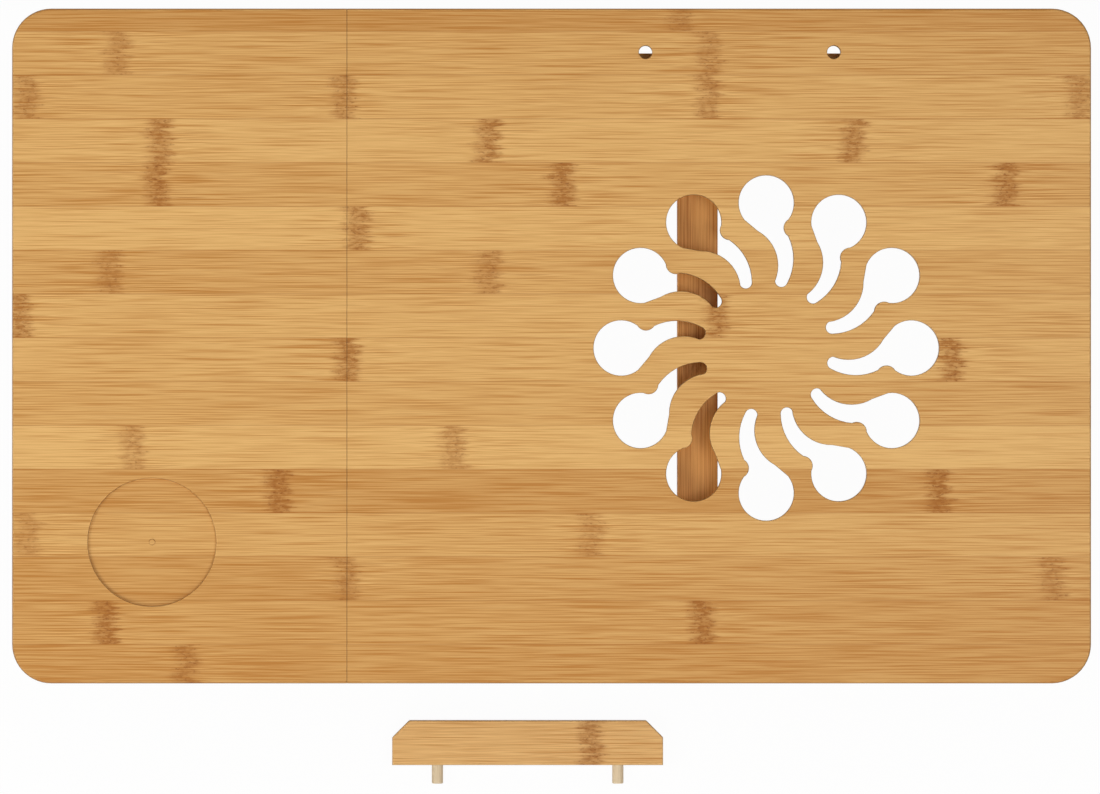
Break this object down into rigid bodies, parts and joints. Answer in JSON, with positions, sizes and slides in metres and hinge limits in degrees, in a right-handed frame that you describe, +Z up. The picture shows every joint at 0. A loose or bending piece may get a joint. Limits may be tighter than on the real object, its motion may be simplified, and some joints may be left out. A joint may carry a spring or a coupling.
{
  "type": "laptop table",
  "caption": "Low bamboo laptop table: tilting vented panel on a prop, fixed side panel with cup recess over a drawer, folding height-adjustable legs, loose pegged ledge.",
  "frame": {"origin": "on the floor, at the middle of the box round the table and its loose ledge", "axes": "+Z up, -Y towards the user, +X towards the fixed panel and its drawer"},
  "size_m": [0.55, 0.4036, 0.27],
  "materials": {
    "bamboo": "clear satin lacquer",
    "pale_dowel": "bare",
    "zinc_steel": "zinc plated",
    "plate_steel": "nickel plated",
    "knob_plastic": "moulded, matte",
    "pad_rubber": "matte"
  },
  "bodies": {
    "frame": {"front_rail": "bamboo", "rear_rail": "bamboo", "left_end_rail": "bamboo", "seam_rail": "bamboo", "notched_cross_bar": "bamboo", "corner_dowels": "pale_dowel", "frame_screws": "zinc_steel", "fixed_panel": "bamboo", "fixed_panel_screws": "zinc_steel", "drawer_runners": "bamboo", "hinge_frame_leaves": "plate_steel", "hinge_frame_screws": "zinc_steel", "hinge_pins": "zinc_steel", "leg_hinge_plates": "plate_steel", "leg_pivot_bolts": "zinc_steel", "leg_pivot_nuts": "zinc_steel", "leg_plate_screws": "zinc_steel"},
    "tilting_top": {"tilting_panel": "bamboo", "hinge_panel_leaves": "plate_steel", "hinge_panel_screws": "zinc_steel", "prop_brackets": "plate_steel", "prop_bracket_screws": "zinc_steel", "prop_pins": "zinc_steel"},
    "prop": {"prop_arms": "plate_steel", "prop_foot_rod": "plate_steel"},
    "drawer": {"drawer_front": "bamboo", "drawer_side_front": "bamboo", "drawer_side_rear": "bamboo", "drawer_back": "bamboo", "drawer_bottom": "bamboo", "drawer_knob": "bamboo", "drawer_knob_screw": "zinc_steel"},
    "left_leg": {"left_leg_uprights": "bamboo", "left_leg_stretcher": "bamboo"},
    "left_foot": {"left_foot_slides": "bamboo", "left_foot_bar": "bamboo", "left_foot_pads": "pad_rubber", "left_clamp_bolts": "zinc_steel", "left_clamp_washers": "zinc_steel"},
    "left_front_knob": {"left_front_knob": "knob_plastic"},
    "left_rear_knob": {"left_rear_knob": "knob_plastic"},
    "right_leg": {"right_leg_uprights": "bamboo", "right_leg_stretcher": "bamboo"},
    "right_foot": {"right_foot_slides": "bamboo", "right_foot_bar": "bamboo", "right_foot_pads": "pad_rubber", "right_clamp_bolts": "zinc_steel", "right_clamp_washers": "zinc_steel"},
    "right_front_knob": {"right_front_knob": "knob_plastic"},
    "right_rear_knob": {"right_rear_knob": "knob_plastic"},
    "ledge": {"ledge_bar": "bamboo", "ledge_pegs": "pale_dowel"}
  },
  "joints": [
    {"name": "top_tilt", "type": "hinge", "parent": "frame", "child": "tilting_top", "pos_m": [0, -0.18215, 0.2562], "axis": [1, 0, 0], "range_deg": [0, 30]},
    {"name": "prop_swing", "type": "hinge", "parent": "tilting_top", "child": "prop", "pos_m": [-0.1095, -0.04815, 0.2562], "axis": [1, 0, 0], "range_deg": [-60, 0]},
    {"name": "drawer_slide", "type": "slide", "parent": "frame", "child": "drawer", "axis": [1, 0, 0], "range_m": [0, 0.1]},
    {"name": "left_leg_fold", "type": "hinge", "parent": "frame", "child": "left_leg", "pos_m": [-0.24, -0.02985, 0.217], "axis": [0, -1, 0], "range_deg": [0, 90]},
    {"name": "left_foot_slide", "type": "slide", "parent": "left_leg", "child": "left_foot", "axis": [0, 0, 1], "range_m": [0, 0.065]},
    {"name": "left_front_knob_turn", "type": "hinge", "parent": "left_foot", "child": "left_front_knob", "pos_m": [-0.24, -0.17905, 0.108], "axis": [0, -1, 0], "continuous": true},
    {"name": "left_rear_knob_turn", "type": "hinge", "parent": "left_foot", "child": "left_rear_knob", "pos_m": [-0.24, 0.11935, 0.108], "axis": [0, 1, 0], "continuous": true},
    {"name": "right_leg_fold", "type": "hinge", "parent": "frame", "child": "right_leg", "pos_m": [0.24, -0.02985, 0.217], "axis": [0, 1, 0], "range_deg": [0, 90]},
    {"name": "right_foot_slide", "type": "slide", "parent": "right_leg", "child": "right_foot", "axis": [0, 0, 1], "range_m": [0, 0.065]},
    {"name": "right_front_knob_turn", "type": "hinge", "parent": "right_foot", "child": "right_front_knob", "pos_m": [0.24, -0.17905, 0.108], "axis": [0, -1, 0], "continuous": true},
    {"name": "right_rear_knob_turn", "type": "hinge", "parent": "right_foot", "child": "right_rear_knob", "pos_m": [0.24, 0.11935, 0.108], "axis": [0, 1, 0], "continuous": true},
    {"name": "ledge_lift", "type": "slide", "parent": "frame", "child": "ledge", "axis": [0, 0, 1], "range_m": [0, 0.05]}
  ],
  "couplings": [
    {"joint": "prop_swing", "follows": "top_tilt", "ratio": -2}
  ]
}
